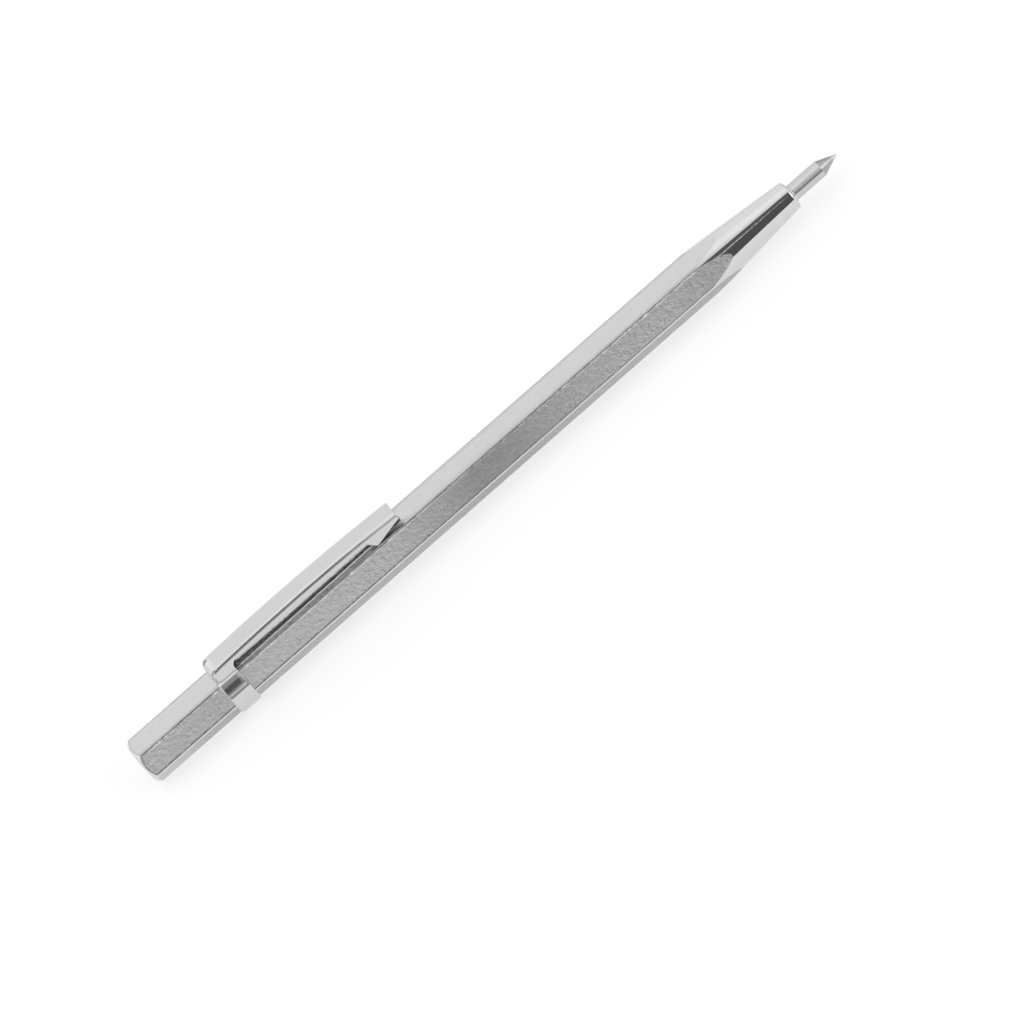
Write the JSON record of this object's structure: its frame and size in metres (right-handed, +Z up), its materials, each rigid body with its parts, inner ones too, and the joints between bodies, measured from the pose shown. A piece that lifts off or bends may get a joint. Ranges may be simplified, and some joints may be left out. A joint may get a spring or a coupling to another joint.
{
  "type": "carbide-tipped pocket scriber",
  "caption": "Pen-shaped scriber: plated hexagonal barrel with a turned conical nose, a ground carbide-tipped point and a sprung pocket clip on an open ring.",
  "frame": {"origin": "centre of the box at the height of the flat that the scriber lies on, below the middle of its length", "axes": "+X along the barrel towards the sharp point, +Z up through the middle of the pocket clip, +Y across the barrel"},
  "size_m": [0.15, 0.0094, 0.0113],
  "materials": {
    "barrel_plating": "satin",
    "shank_steel": "satin",
    "carbide": "polished",
    "clip_plating": "polished"
  },
  "bodies": {
    "barrel": {"hex_barrel": "barrel_plating", "point_shank": "shank_steel", "carbide_point": "carbide"},
    "clip": {"clip_ring": "clip_plating"},
    "strap": {"clip_strap": "clip_plating"}
  },
  "joints": [
    {"name": "clip_slide", "type": "slide", "parent": "barrel", "child": "clip", "axis": [1, 0, 0], "range_m": [-0.016, 0.06]},
    {"name": "strap_flex", "type": "hinge", "parent": "clip", "child": "strap", "pos_m": [-0.0529, 0, 0.01106], "axis": [0, -1, 0], "range_deg": [0, 6], "stiffness_Nm_per_rad": 1.2, "springref_deg": -1.43}
  ]
}
